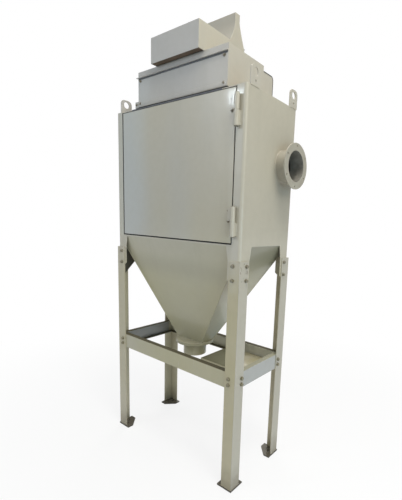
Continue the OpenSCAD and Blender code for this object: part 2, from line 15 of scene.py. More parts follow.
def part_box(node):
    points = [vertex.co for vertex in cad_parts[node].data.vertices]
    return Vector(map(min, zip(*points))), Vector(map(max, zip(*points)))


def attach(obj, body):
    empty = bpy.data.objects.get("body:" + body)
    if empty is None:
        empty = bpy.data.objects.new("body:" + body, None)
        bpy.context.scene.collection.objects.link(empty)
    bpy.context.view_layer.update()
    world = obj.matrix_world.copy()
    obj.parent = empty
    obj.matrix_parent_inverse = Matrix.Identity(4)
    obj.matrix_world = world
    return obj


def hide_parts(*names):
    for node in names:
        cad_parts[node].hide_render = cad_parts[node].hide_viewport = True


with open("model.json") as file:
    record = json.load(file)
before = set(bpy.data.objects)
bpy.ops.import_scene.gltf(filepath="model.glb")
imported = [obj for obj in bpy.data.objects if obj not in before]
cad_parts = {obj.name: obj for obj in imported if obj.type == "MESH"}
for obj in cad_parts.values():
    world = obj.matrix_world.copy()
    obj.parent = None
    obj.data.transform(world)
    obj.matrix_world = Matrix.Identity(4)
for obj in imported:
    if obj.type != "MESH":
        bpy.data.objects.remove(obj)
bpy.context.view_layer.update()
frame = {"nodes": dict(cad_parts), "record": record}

# %% [markdown]
# ## The cabinet's own axes
# A maker measures from the middle of the cabinet, in millimetres. The side panels' boxes give that middle,
# and one short helper turns such a place into metres in the shared frame.

# %% Places measured from the cabinet's middle
MM = 0.001
left_low, left_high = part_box("side_panel_left")
right_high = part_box("side_panel_right")[1]
MID_X = (left_low.x + right_high.x) / 2
MID_Y = (left_low.y + left_high.y) / 2


def spot(x, y, z):
    """A place in metres for one given in millimetres from the cabinet's middle and the floor."""
    return Vector((MID_X + x * MM, MID_Y + y * MM, z * MM))


print("the cabinet's middle:", MID_X, MID_Y)

# %% [markdown]
# ## The camera
# The photo was taken by a standing person in front of the right hand corner, looking up at the hood a
# little. The view is wide, and the frame was cut from a larger picture, which is why the lens is shifted.

# %% Place the camera
# These are in the photo's pixels: its height, the lens, its middle and the middle of the uncut picture. The
# angles are in radians.
PHOTO_HIGH = 500
FOCAL = 346.88
FRAME_MIDDLE = (201, 250)
LENS_MIDDLE = (252.92, 279.89)
SENSOR = 36
yaw, pitch, roll = -0.6266, -0.1640, 0.0482
ahead = Vector((math.sin(yaw) * math.cos(pitch), math.cos(yaw) * math.cos(pitch), math.sin(pitch)))
right = Vector((math.cos(yaw), -math.sin(yaw), 0))
up = right.cross(ahead)
cam_x = math.cos(roll) * right + math.sin(roll) * up
cam_y = -math.sin(roll) * right + math.cos(roll) * up

eye = spot(1742.4, -1743.8, 1639)
turn = Matrix((cam_x, cam_y, -ahead)).transposed().to_4x4()
camera_data = bpy.data.cameras.new("camera")
camera = bpy.data.objects.new("camera", camera_data)
bpy.context.scene.collection.objects.link(camera)
camera.matrix_world = Matrix.Translation(eye) @ turn
camera_data.sensor_fit = "VERTICAL"
camera_data.sensor_height = SENSOR
camera_data.lens = FOCAL / PHOTO_HIGH * SENSOR
camera_data.shift_x = (FRAME_MIDDLE[0] - LENS_MIDDLE[0]) / PHOTO_HIGH
camera_data.shift_y = (LENS_MIDDLE[1] - FRAME_MIDDLE[1]) / PHOTO_HIGH
bpy.context.scene.camera = camera
print("camera at", eye)

# %% [markdown]
# ## Light
# The machine stood in a bright workshop: the light came mostly from the right and from above, so the side
# is warm and bright and the door side is a shade darker. Large soft lamps and a pale world keep that
# difference gentle. Narrow lamps stand where the windows mirror in the satin paint, and draw the streaks at
# the upper hinge, on the right stile and on the door's left. One faint lamp just above the deck plate
# stands for the light that comes up from below onto the hopper.

# %% Lamps


def soft_lamp(name, place, target, size, power, colour, tall=None):
    """A lamp at a place, turned to a target, both in metres. It is square unless it is tall."""
    data = bpy.data.lights.new(name, "AREA")
    data.size = size
    if tall:
        data.shape = "RECTANGLE"
        data.size_y = tall
    data.energy = power
    data.color = colour
    lamp = bpy.data.objects.new(name, data)
    bpy.context.scene.collection.objects.link(lamp)
    lamp.visible_camera = False
    lamp.location = place
    lamp.rotation_euler = (Vector(target) - Vector(place)).to_track_quat("-Z", "Y").to_euler()
    return lamp


soft_lamp("side_lamp", (3.6, -0.6, 3.8), (0.5, 0, 2.0), 2.2, 54, (1.0, 0.955, 0.87))
soft_lamp("high_side_lamp", (1.75, -1.0, 5.2), (0.5, 0, 2.0), 1.1, 80, (1.0, 0.965, 0.89))
soft_lamp("low_side_lamp", (4.6, -1.6, 1.2), (0.4, 0, 0.8), 1.8, 48, (0.58, 0.83, 1.0))
soft_lamp("front_lamp", (-2.4, -5.0, 4.0), (0, 0, 1.6), 2.8, 31.5, (0.975, 0.955, 0.975))
soft_lamp("sheen_lamp", (-3.6, -2.4, 2.6), (-0.4, -0.2, 1.9), 0.45, 5.5, (0.60, 0.88, 1.0), tall=2.6)
soft_lamp("corner_lamp", (0.2, -4.4, 2.2), (0.5, -0.25, 1.6), 0.25, 12, (0.88, 0.95, 1.0), tall=3.2)
soft_lamp("glare_lamp", (-2.11, -3.4, 3.60), (0.5, -0.25, 2.27), 0.28, 13, (0.80, 0.91, 1.0), tall=0.22)
soft_lamp("window_lamp", (-0.90, -4.2, 3.50), (0.5, -0.25, 2.2), 2.0, 13, (0.74, 0.87, 1.0), tall=0.5)
soft_lamp("stile_lamp", (-2.90, -4.4, 1.90), (0.5, -0.25, 1.7), 0.20, 8, (0.62, 0.78, 1.0), tall=3.6)
soft_lamp("bounce_lamp", (0.20, 0.19, 0.775), (0.12, -0.03, 0.98), 0.34, 0.14, (0.50, 0.68, 1.0))
soft_lamp("roof_lamp", (0.5, 0.5, 6.0), (0, 0, 2.0), 4.0, 150, (1.0, 1.0, 1.0))
soft_lamp("back_lamp", (-3.5, 4.5, 3.2), (0, 0, 1.5), 3.0, 90, (1.0, 0.98, 0.95))

view = bpy.context.scene.view_settings
view.view_transform = "Standard"

# %% [markdown]
# ## Writing shader maths as sums
# A finish is a short sum of noises, masks and colours. The small class below wraps a shader socket, so that
# such a sum is typed as one and its nodes are made on the way.

# %% Helpers for finishes


class Wave:
    """One shader number: sums, differences and products are written as Python expressions."""

    def __init__(self, finish, socket):
        self.finish = finish
        self.socket = socket

    def _with(self, operation, other, swap=False):
        pair = [other, self] if swap else [self, other]
        return self.finish.node("ShaderNodeMath", {"operation": operation}, dict(enumerate(pair)))

    def __add__(self, other):
        return self._with("ADD", other)

    def __sub__(self, other):
        return self._with("SUBTRACT", other)

    def __rsub__(self, other):
        return self._with("SUBTRACT", other, swap=True)

    def __mul__(self, other):
        return self._with("MULTIPLY", other)

    __radd__ = __add__
    __rmul__ = __mul__


class Finish:
    """A material under construction, with one short method for each kind of step."""

    def __init__(self, name):
        self.material = bpy.data.materials.new(name)
        self.material.use_nodes = True
        self.tree = self.material.node_tree
        self.shader = self.tree.nodes["Principled BSDF"]
        coords = self.tree.nodes.new("ShaderNodeTexCoord")
        self.place = Wave(self, coords.outputs["Object"])

    def node(self, kind, settings, inputs, out=0):
        """A node of a kind, with its settings first and then its sockets' values or links."""
        made = self.tree.nodes.new(kind)
        for key, value in settings.items():
            setattr(made, key, value)
        for key, value in inputs.items():
            self.feed(made.inputs[key], value)
        return Wave(self, made.outputs[out])

    def feed(self, socket, value):
        """Links a wave to a socket, or sets its plain value."""
        if isinstance(value, Wave):
            self.tree.links.new(value.socket, socket)
        else:
            socket.default_value = value

    def noise(self, scale, detail=3.0, rough=0.55, stretch=(1, 1, 1), shift=(0, 0, 0)):
        """Noise with so many grains a metre, drawn out along the axes where stretch is small."""
        moved = {"Vector": self.place, "Scale": stretch, "Location": shift}
        place = self.node("ShaderNodeMapping", {}, moved)
        grain = {"Vector": place, "Scale": scale, "Detail": detail, "Roughness": rough}
        return self.node("ShaderNodeTexNoise", {}, grain, "Fac")

    def between(self, wave, low, high):
        """0 where the wave is under low, 1 where it is over high, and smooth between."""
        return self.node("ShaderNodeMapRange", {"interpolation_type": "SMOOTHSTEP"},
                         {"Value": wave, "From Min": low, "From Max": high})

    def blend(self, share, first, second):
        """A colour between two colours."""
        made = self.tree.nodes.new("ShaderNodeMix")
        made.data_type = "RGBA"
        self.feed(made.inputs[0], share)
        self.feed(made.inputs[6], first)
        self.feed(made.inputs[7], second)
        return Wave(self, made.outputs[2])

    def axis(self, letter):
        """The height, depth or width of the point in the shared frame."""
        return self.node("ShaderNodeSeparateXYZ", {}, {"Vector": self.place}, "XYZ".index(letter))

    def facing_up(self):
        """1 where the surface faces upwards, 0 where it is upright."""
        normal = self.node("ShaderNodeNewGeometry", {}, {}, "Normal")
        level = self.node("ShaderNodeSeparateXYZ", {}, {"Vector": normal}, 2)
        return self.between(level, 0.5, 0.95)

    def bump(self, *layers):
        """Bumps from pairs of a wave and its height in metres, one on the other."""
        normal = None
        for wave, height in layers:
            inputs = {"Height": wave, "Distance": height, "Strength": 1.0}
            if normal:
                inputs["Normal"] = normal
            normal = self.node("ShaderNodeBump", {}, inputs)
        self.feed(self.shader.inputs["Normal"], normal)

    def set(self, **values):
        """Values or waves for the shader's own sockets, with spaces written as underscores."""
        for key, value in values.items():
            self.feed(self.shader.inputs[key.replace("_", " ")], value)
        return self.material


# %% [markdown]
# ## The white floor and background
# The photo's background is plain white. The floor is a pale matt plane that keeps the machine's shadow
# close by and fades to pure white further out, for the camera and for what the paint mirrors. The world is
# white to the camera and a dim grey to everything else.

# %% Floor and world
SHADOW_FROM, SHADOW_TO = 0.9, 3.2
SHADOW_SHARE = 0.19
bpy.ops.object.select_all(action="DESELECT")
bpy.ops.mesh.primitive_plane_add(size=60, location=(0, 0, 0))
floor = bpy.context.object
floor.name = "floor"

ground = Finish("pale_floor")
ground.set(Base_Color=(0.82, 0.82, 0.81, 1), Roughness=0.8)
reach = ground.node("ShaderNodeVectorMath", {"operation": "LENGTH"}, {"Vector": ground.place}, "Value")
far = ground.between(reach, SHADOW_FROM, SHADOW_TO)
rays = ground.tree.nodes.new("ShaderNodeLightPath")
seen = Wave(ground, rays.outputs["Is Camera Ray"]) + Wave(ground, rays.outputs["Is Glossy Ray"])
white = ground.node("ShaderNodeEmission", {}, {"Color": (1, 1, 1, 1), "Strength": 1.0})
near_share = (1 - far) * SHADOW_SHARE
kept = {"operation": "MULTIPLY", "use_clamp": True}
fade = ground.node("ShaderNodeMath", kept, {0: seen, 1: 1 - near_share})
out = ground.tree.nodes["Material Output"]
mixed = ground.node("ShaderNodeMixShader", {}, {0: fade, 1: Wave(ground, ground.shader.outputs[0]), 2: white})
ground.tree.links.new(mixed.socket, out.inputs["Surface"])
floor.data.materials.append(ground.material)

world = bpy.data.worlds.new("workshop_air")
bpy.context.scene.world = world
world.use_nodes = True
sky = world.node_tree
paths = sky.nodes.new("ShaderNodeLightPath")
level = sky.nodes.new("ShaderNodeMath")
level.operation = "MAXIMUM"
sky.links.new(paths.outputs["Is Camera Ray"], level.inputs[0])
sky.links.new(paths.outputs["Is Transmission Ray"], level.inputs[1])
tint = sky.nodes.new("ShaderNodeMix")
tint.data_type = "RGBA"
tint.inputs[6].default_value = (0.190, 0.196, 0.206, 1)
tint.inputs[7].default_value = (1, 1, 1, 1)
sky.links.new(level.outputs[0], tint.inputs[0])
sky.links.new(tint.outputs[2], sky.nodes["Background"].inputs["Color"])
print("floor and world are white to the camera")

# %% [markdown]
# ## The powder coat
# The whole machine carries one light beige grey coat. Up close it has the fine dimples of sprayed powder,
# broad dull and bright patches where the sheet isn't quite flat, a little dust on what faces up, and thin
# scuffs. It is painted warmer low down, for the floor's light that reaches it, and painted with blue grey
# patches for the sheen of the windows. Wear comes on top: chips at the splice and dirt at the feet. Painted
# shade darkens the hopper under the cabinet and the deck under the outlet, and the rails' upper faces are
# darker. Past some edges the coat takes another colour, which is painted light or shade on that face.

# %% Mix the powder coat
# The places in metres where each kind of wear, painted light and painted shade begins and ends, and their
# colours.
EDGE = 0.001
WARM_UNDER = 1.15
UNDER_CABINET = (1.20, 1.46)
BEHIND_FRONT = (-0.22, -0.18)
SPLICE_FOOT = (1.26, 1.30)
SPLICE_HEAD = (1.40, 1.44)
SPLASHED = (0.06, 0.24)
FOOT_PLATE = (0.009, 0.013)
DUST = (0.56, 0.53, 0.46, 1)
UNDER_CABINET_SHADE = (0.16, 0.16, 0.11, 1)
CHIPPED = (0.12, 0.10, 0.07, 1)
MUD = (0.16, 0.13, 0.085, 1)
OILY = (0.030, 0.023, 0.012, 1)


def tinted(colour, red, green, blue):
    """A colour with its red, green and blue multiplied."""
    return (colour[0] * red, colour[1] * green, colour[2] * blue, 1)


def painted_sheen_patches(coat, seed):
    """Painted blue sheen for the windows' reflection: broad upright blue grey patches, mostly on the left."""
    sheen_share = coat.between(coat.noise(1.1, 2, 0.5, (1, 1, 0.35), (seed, 0, 2)), 0.38, 0.66)
    return sheen_share * (1 - coat.between(coat.axis("X"), 0.05, 0.50) * 0.8)


def chips(coat, seed):
    """Where paint has come off at the splice of stub and leg, on the right side's outside."""
    band = coat.between(coat.axis("Z"), *SPLICE_FOOT) * (1 - coat.between(coat.axis("Z"), *SPLICE_HEAD))
    spots = coat.between(coat.noise(70, 3, 0.6, (1, 1, 0.6), (seed, 0, 0)), 0.60, 0.66)
    outside = coat.between(coat.axis("X"), right_high.x - EDGE, right_high.x)
    return band * spots * outside


def darkened_tops(coat, reach):
    """Where upper faces are darker: up to a reach in metres towards the right rear corner."""
    away = coat.axis("X") + coat.axis("Y") * 0.8
    return coat.facing_up() * (1 - coat.between(away, reach, reach + 0.08))


def powder_coat(name, colour, shine=0.42, scuffs=0.25, wavy=0.0012, warm_top=1.52, blue_sheen=0.0, foot_dirt=0.0,
                shade_under_cabinet=0.0, worn=0.0, painted_face_light=None, dark_tops=None, seed=0.0):
    """A satin coat with its wear, and with light and shade painted into its colour.

    Shine is its roughness, wavy the height of its waves and warm_top the height in metres where the painted
    warm light from the floor ends. The shares scuffs, foot_dirt and worn run from 0 to 1, and so do the
    shares of the painted blue sheen and of the painted shade under the cabinet. The painted light or shade
    past an edge is given as a place along X, the width of the change there and the colour past it. The darker
    upper faces are given as their reach in metres and their colour.
    """
    coat = Finish(name)
    dark = tinted(colour, 0.80, 0.80, 0.80)
    pale = tinted(colour, 1.10, 1.10, 1.10)
    patches = coat.between(coat.noise(1.7, 3, 0.6, shift=(seed, 0, 0)), 0.35, 0.68)
    mottle = coat.between(coat.noise(26, 4, 0.6, shift=(0, seed, 0)), 0.3, 0.75)
    streaks = coat.between(coat.noise(9, 3, 0.5, (1, 1, 0.09), (seed, 3, 0)), 0.52, 0.80)
    lines = coat.between(coat.noise(150, 2, 0.4, (1, 1, 0.05), (0, seed, 7)), 0.66, 0.73)
    rubbed = coat.between(coat.noise(2.6, 2, 0.5, shift=(4, seed, 1)), 0.5, 0.7)
    # Painted warm light: the coat is warmer low down, for the floor's light.
    height = coat.between(coat.axis("Z"), WARM_UNDER, warm_top)
    shade = coat.blend(height, tinted(colour, 0.95, 0.93, 0.70), colour)
    shade = coat.blend(patches * 0.35, shade, pale)
    # Painted blue sheen: blue grey patches for the windows' reflection.
    if blue_sheen:
        shade = coat.blend(painted_sheen_patches(coat, seed) * blue_sheen, shade, tinted(colour, 0.93, 1.0, 1.22))
    # Painted light or shade on one face: past a place along X the coat takes another colour.
    if painted_face_light:
        limit, width, other = painted_face_light
        shade = coat.blend(coat.between(coat.axis("X"), limit, limit + width), shade, other)
    # Painted shade under the cabinet: the hopper's faces behind its front are darker high up.
    if shade_under_cabinet:
        under = coat.between(coat.axis("Z"), *UNDER_CABINET) * coat.between(coat.axis("Y"), *BEHIND_FRONT)
        shade = coat.blend(under * shade_under_cabinet, shade, UNDER_CABINET_SHADE)
    if worn:
        shade = coat.blend(chips(coat, seed) * worn, shade, CHIPPED)
    shade = coat.blend(mottle * 0.14, shade, dark)
    shade = coat.blend(streaks * 0.24, shade, dark)
    shade = coat.blend(lines * rubbed * scuffs, shade, pale)
    up_dust = coat.facing_up() * coat.between(coat.noise(14, 4, 0.6), 0.3, 0.7)
    shade = coat.blend(up_dust * 0.45, shade, DUST)
    rough = shine + mottle * 0.06 + streaks * 0.05 + up_dust * 0.25 - patches * 0.04
    gloss, glint = 0.40, 0.5
    # Darker upper faces: painted shade on the deck under the outlet, and darker flanges on the rails.
    if dark_tops:
        reach, top_colour = dark_tops
        darkened = darkened_tops(coat, reach)
        shade = coat.blend(darkened, shade, top_colour)
        rough = rough + darkened * 0.3
        gloss, glint = (1 - darkened) * gloss, (1 - darkened * 0.8) * glint
    if foot_dirt:
        low = 1 - coat.between(coat.axis("Z") + coat.noise(18, 3) * 0.10, *SPLASHED)
        plate = 1 - coat.between(coat.axis("Z"), *FOOT_PLATE)
        shade = coat.blend(low * foot_dirt, shade, MUD)
        shade = coat.blend(plate * 0.95, shade, OILY)
        rough = rough + low * 0.2
    coat.bump((coat.noise(2.2, 1, 0.4, shift=(0, 0, seed)), wavy), (coat.noise(520, 2, 0.5), 0.00006))
    coat.set(Coat_Weight=gloss, Coat_Roughness=0.09, Coat_IOR=1.45)
    return coat.set(Base_Color=shade, Roughness=rough, Specular_IOR_Level=glint)


# %% Coats of the cabinet, the plenum and the hood
# The beige coats differ a little in colour from part to part; these differences are painted light and shade.
# The stack's coat is darker for the shade on its front.
beige_coat = powder_coat("beige_coat", (0.434, 0.402, 0.320, 1), blue_sheen=0.25, worn=0.7)
door_coat = powder_coat("door_coat", (0.434, 0.398, 0.306, 1), shine=0.36, wavy=0.0030, warm_top=1.95,
                        blue_sheen=0.95, seed=3.1)
hopper_coat = powder_coat("hopper_coat", (0.401, 0.371, 0.270, 1), shine=0.38, scuffs=0.5, wavy=0.0026,
                          blue_sheen=0.3, shade_under_cabinet=0.6, seed=8.2)
THIN_SHEET = {"shine": 0.40, "wavy": 0.0020}
# Painted light: the right side faces of the plenum, the hood and the stack take a paler or a warmer colour,
# for the light from the right.
painted_light_side = (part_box("plenum_side_right")[1].x - 0.001, EDGE, (0.445, 0.415, 0.345, 1))
painted_warm_side = (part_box("exhaust_hood")[1].x - 0.002, EDGE, (0.425, 0.396, 0.318, 1))
upper_coat = powder_coat("upper_coat", (0.430, 0.407, 0.358, 1), blue_sheen=0.35, painted_face_light=painted_light_side, seed=5.7,
                         **THIN_SHEET)
hood_coat = powder_coat("hood_coat", (0.418, 0.397, 0.350, 1), blue_sheen=0.35, painted_face_light=painted_warm_side, seed=5.7,
                        **THIN_SHEET)
stack_coat = powder_coat("stack_coat", (0.355, 0.335, 0.285, 1), painted_face_light=painted_warm_side, seed=5.1, **THIN_SHEET)
bolt_coat = powder_coat("bolt_coat", (0.190, 0.170, 0.125, 1), shine=0.45, scuffs=0.9, seed=9.5)
# A near black coat for the gussets by the left legs: painted shade.
painted_shade_coat = powder_coat("painted_shade_coat", (0.055, 0.050, 0.042, 1), shine=0.45, seed=2.6)

# %% Coats of the legs, the rails and the deck plate
# Painted light and shade on single faces: the right legs' and the right rail's outer faces are bluer, for the
# blue light from the low right, the rear rail grows paler towards the right, and the left rail inside its
# outer face is painted shade.
painted_blue_outside = (right_high.x + 0.003, EDGE, (0.416, 0.389, 0.316, 1))
leg_coat = powder_coat("leg_coat", (0.430, 0.388, 0.296, 1), scuffs=0.7, foot_dirt=0.5, blue_sheen=0.3, worn=0.7,
                       painted_face_light=painted_blue_outside, seed=1.4)
WHOLE = 9.0
BRACE = (0.396, 0.369, 0.283, 1)
BRACE_WEAR_AND_SHEEN = {"shine": 0.40, "scuffs": 0.7, "blue_sheen": 0.3, "seed": 4.4}
painted_blue_side = (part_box("rail_right")[1].x - 0.001, EDGE, (0.372, 0.378, 0.362, 1))
painted_light_rightwards = (0.05, 0.22, (0.66, 0.64, 0.53, 1))
shaded = (left_low.x + 0.002, EDGE, (0.240, 0.248, 0.238, 1))
# The rails' upper faces are darker, and the deck is painted with shade under the outlet.
dark_flange = (WHOLE, (0.100, 0.090, 0.058, 1))
dull_flange = (WHOLE, (0.310, 0.300, 0.225, 1))
painted_shade_under_outlet = (MID_X + 0.30, (0.222, 0.213, 0.135, 1))
right_rail_coat = powder_coat("right_rail_coat", BRACE, painted_face_light=painted_blue_side, dark_tops=dull_flange, **BRACE_WEAR_AND_SHEEN)
rear_rail_coat = powder_coat("rear_rail_coat", BRACE, painted_face_light=painted_light_rightwards, dark_tops=dark_flange, **BRACE_WEAR_AND_SHEEN)
front_rail_coat = powder_coat("front_rail_coat", BRACE, dark_tops=dark_flange, **BRACE_WEAR_AND_SHEEN)
deck_coat = powder_coat("deck_coat", BRACE, dark_tops=painted_shade_under_outlet, **BRACE_WEAR_AND_SHEEN)
rail_coat = powder_coat("rail_coat", (0.408, 0.380, 0.290, 1), shine=0.36, blue_sheen=0.3, painted_face_light=shaded,
                        dark_tops=dark_flange, seed=6.3)
print("the paint is mixed")

# %% [markdown]
# ## Bare metal, rubber, painted shade and filter cloth
# The hinge pins and the cartridges' caps are plated steel with faint turning marks. The inlet's bore is
# painted a darker grey, for the shade inside it. The seals are black rubber that has gone a little grey. Dark
# matt strips are painted shade: a near black one in the recess under the plenum, and grey ones under the drip
# lip and just above the door. A dark brown sheet closes the hood's overhang, and its colour is painted shade
# there. The filter cloth is a pale felt.

# %% Mix the other finishes


def plated_metal(name, colour, rough, seed=0.0):
    """A metal with faint clouding and fine turning marks."""
    plate = Finish(name)
    cloud = plate.between(plate.noise(60, 4, 0.6, shift=(seed, 0, 0)), 0.35, 0.7)
    dark = tinted(colour, 0.6, 0.6, 0.6)
    plate.bump((plate.noise(900, 2, 0.5, (1, 1, 0.2)), 0.00004))
    shade = plate.blend(cloud * 0.5, colour, dark)
    return plate.set(Base_Color=shade, Metallic=1.0, Roughness=rough + cloud * 0.15)


def soft_matter(name, colour, rough, cell, depth, fleck=0.3):
    """Rubber, felt or a matt strip of painted shade: a matt colour with so many cells or fibres a metre."""
    stuff = Finish(name)
    cells = stuff.node("ShaderNodeTexVoronoi", {}, {"Vector": stuff.place, "Scale": cell}, "Distance")
    cloud = stuff.between(stuff.noise(12, 3, 0.6), 0.3, 0.7)
    pale = tuple(min(1.0, c * 1.7 + 0.01) for c in colour[:3]) + (1,)
    stuff.bump((cells, depth))
    shade = stuff.blend(cloud * fleck, colour, pale)
    return stuff.set(Base_Color=shade, Roughness=rough, Specular_IOR_Level=0.3)


def shaded_bore(name, middle, radius):
    """The inlet's coat: a darker grey inside a radius round the inlet's axis, painted shade in the bore, and
    paint outside it.
    """
    coat = Finish(name)
    off = coat.node("ShaderNodeVectorMath", {"operation": "SUBTRACT"}, {0: coat.place, 1: middle})
    flat = coat.node("ShaderNodeVectorMath", {"operation": "MULTIPLY"}, {0: off, 1: (0, 1, 1)})
    away = coat.node("ShaderNodeVectorMath", {"operation": "LENGTH"}, {0: flat}, "Value")
    painted = coat.between(away, radius + 0.0002, radius + 0.0012)
    mottle = coat.between(coat.noise(22, 4, 0.6), 0.3, 0.75)
    # Painted shade inside the bore.
    bore_shade = coat.blend(mottle, (0.170, 0.162, 0.138, 1), (0.270, 0.258, 0.222, 1))
    paint = coat.blend(mottle * 0.4, (0.370, 0.345, 0.280, 1), (0.300, 0.275, 0.215, 1))
    coat.bump((coat.noise(520, 2, 0.5), 0.00006))
    coat.set(Coat_Weight=0.3, Coat_Roughness=0.13)
    return coat.set(Base_Color=coat.blend(painted, bore_shade, paint), Roughness=0.42 + mottle * 0.08)


inlet_low, inlet_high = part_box("inlet_flange")
inlet_middle = (inlet_low + inlet_high) / 2
BORE_RADIUS = 0.089
inlet_coat = shaded_bore("inlet_coat", inlet_middle, BORE_RADIUS)
pin_steel = plated_metal("pin_steel", (0.40, 0.40, 0.39, 1), 0.30, 2.0)
cap_steel = plated_metal("cap_steel", (0.56, 0.57, 0.57, 1), 0.34, 4.0)
black_rubber = soft_matter("black_rubber", (0.022, 0.022, 0.021, 1), 0.72, 400, 0.0002)
painted_shade_brown = soft_matter("painted_shade_brown", (0.100, 0.072, 0.050, 1), 0.85, 900, 0.0002, 0.5)
painted_shade_strip = soft_matter("painted_shade_strip", (0.055, 0.050, 0.042, 1), 0.80, 300, 0.0002, 0.6)
painted_shade_grey = soft_matter("painted_shade_grey", (0.085, 0.088, 0.095, 1), 0.60, 300, 0.0002, 0.5)
filter_felt = soft_matter("filter_felt", (0.70, 0.68, 0.60, 1), 0.90, 700, 0.0003, 0.25)
print("metals, rubber, board and felt")

# %% [markdown]
# ## Rounding the sheet's edges
# No folded sheet has a razor edge. Where a solid's shape is right, a copy of its mesh is merged, its flat
# faces are joined again, and a narrow bevel runs round every edge, so each fold catches a thin line of
# light as steel does.

# %% Helpers for every piece
BODY = {}
for body, nodes in frame["record"]["behaviour"]["bodies"].items():
    for node in nodes:
        BODY[node] = body


def only(piece):
    """Selects one piece and nothing else."""
    bpy.ops.object.select_all(action="DESELECT")
    piece.select_set(True)
    bpy.context.view_layer.objects.active = piece


def smooth(piece, angle=35):
    """Smooth shading up to an angle, with flat faces kept flat by their area."""
    only(piece)
    bpy.ops.object.shade_smooth_by_angle(angle=math.radians(angle))
    weighted = piece.modifiers.new("flat faces", "WEIGHTED_NORMAL")
    weighted.keep_sharp = True
    bpy.ops.object.modifier_apply(modifier=weighted.name)


def settle(piece, name, finish, body):
    """Names a new piece, gives it its finish and fixes it to its body."""
    piece.name = name
    piece.data.materials.clear()
    piece.data.materials.append(finish)
    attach(piece, body)
    return piece


def joined(pieces):
    """Joins several pieces into one and puts its origin at the shared frame's."""
    only(pieces[0])
    for piece in pieces:
        piece.select_set(True)
    bpy.ops.object.join()
    bpy.ops.object.transform_apply(location=True, rotation=True, scale=True)
    return bpy.context.object


def built(shape, name):
    """A new object from a finished bmesh."""
    mesh = bpy.data.meshes.new(name)
    shape.to_mesh(mesh)
    shape.free()
    piece = bpy.data.objects.new(name, mesh)
    bpy.context.scene.collection.objects.link(piece)
    return piece


# %% Helper that rounds a copy of a solid


def rounded(node, finish, width=1.5, steps=2):
    """A piece that stands for a solid, with its edges rounded by a width in millimetres."""
    source = frame["nodes"][node]
    piece = bpy.data.objects.new(node + "_sheet", source.data.copy())
    bpy.context.scene.collection.objects.link(piece)
    only(piece)
    bpy.ops.object.mode_set(mode="EDIT")
    bpy.ops.mesh.select_all(action="SELECT")
    bpy.ops.mesh.remove_doubles(threshold=0.00002)
    bpy.ops.mesh.dissolve_limited(angle_limit=math.radians(0.6))
    bpy.ops.object.mode_set(mode="OBJECT")
    edge = piece.modifiers.new("edges", "BEVEL")
    edge.width = width * MM
    edge.segments = steps
    edge.limit_method = "ANGLE"
    edge.angle_limit = math.radians(40)
    edge.use_clamp_overlap = True
    bpy.ops.object.modifier_apply(modifier=edge.name)
    smooth(piece)
    settle(piece, node + "_sheet", finish, BODY[node])
    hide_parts(node)
    return piece


# %% Round the cabinet, the plenum and the hood
for node in ["side_panel_left", "side_panel_right", "back_panel", "front_sill", "tube_sheet"]:
    rounded(node, beige_coat, 1.2)
for node in ["plenum_side_left", "plenum_side_right", "plenum_back", "plenum_top", "plenum_floor",
             "drip_strip"]:
    rounded(node, upper_coat, 1.0)
for node in ["lug_front_left", "lug_front_right", "lug_rear_left", "lug_rear_right"]:
    rounded(node, upper_coat, 1.5)
rounded("access_panel", upper_coat, 1.4)
rounded("exhaust_hood", hood_coat, 1.4)
rounded("blower_stack", stack_coat, 1.4)
rounded("door_panel", door_coat, 2.6, 3)
rounded("hopper", hopper_coat, 1.5)
print("sheet metal rounded")

# %% Round the legs, rails and flanges
for node in ["leg_front_left", "leg_front_right", "leg_rear_left", "leg_rear_right"]:
    rounded(node, leg_coat, 2.0)
rounded("rail_rear", rear_rail_coat, 2.2, 3)
rounded("rail_right", right_rail_coat, 2.2, 3)
rounded("rail_front", front_rail_coat, 2.2, 3)
rounded("deck_plate", deck_coat, 2.2, 3)
rounded("rail_left", rail_coat, 2.2, 3)
for node in ["outlet_flange", "outlet_collar"]:
    rounded(node, hopper_coat, 1.0)
for node in ["inlet_collar", "inlet_flange"]:
    rounded(node, inlet_coat, 1.0)
for node in ["hinge_door_halves", "hinge_frame_halves"]:
    rounded(node, beige_coat, 1.2)
print("steelwork rounded")

# %% Give the other solids their finish
# Some of these finishes are painted shade: on the gussets by the left legs, on the neck frame in the recess
# under the plenum and on the liner under the hood's overhang.
PLAIN = {
    "door_frame": beige_coat,
    "door_seal": black_rubber,
    "filter_media": filter_felt,
    "filter_caps": cap_steel,
    "gusset_front_left": painted_shade_coat,
    "gusset_rear_left": painted_shade_coat,
    "hinge_pins": pin_steel,
    "hood_liner": painted_shade_brown,
    "plenum_neck_frame": painted_shade_strip,
}
for node, finish in PLAIN.items():
    solid = frame["nodes"][node]
    solid.data.materials.clear()
    solid.data.materials.append(finish)

# %% [markdown]
# ## Bolts
# The legs are bolted to the stubs of the side panels, and the rails to the legs. A hex bolt is modelled
# once: a six sided head with its chamfered top, on a round washer. Then it is copied to each place. The
# left and rear faces, which the photo doesn't show and where the foot plates end a few millimetres out,
# have coach bolts with low heads.

# %% Model the bolts


def bar(sides, radius, depth, base=0.0):
    """An upright bar with a radius and a depth in millimetres, its foot at a base height."""
    bpy.ops.object.select_all(action="DESELECT")
    middle = (0, 0, (base + depth / 2) * MM)
    bpy.ops.mesh.primitive_cylinder_add(vertices=sides, radius=radius * MM, depth=depth * MM, location=middle)
    return bpy.context.object


def crown(piece, steps):
    """Shapes the top of a bar by steps, each a width inwards and a height upwards in millimetres."""
    bpy.ops.object.mode_set(mode="EDIT")
    shape = bmesh.from_edit_mesh(piece.data)
    for face in shape.faces:
        face.select = face.normal.z > 0.9
    bmesh.update_edit_mesh(piece.data)
    for inwards, upwards in steps:
        bpy.ops.mesh.inset(thickness=inwards * MM)
        bpy.ops.transform.translate(value=(0, 0, upwards * MM))
    bpy.ops.object.mode_set(mode="OBJECT")


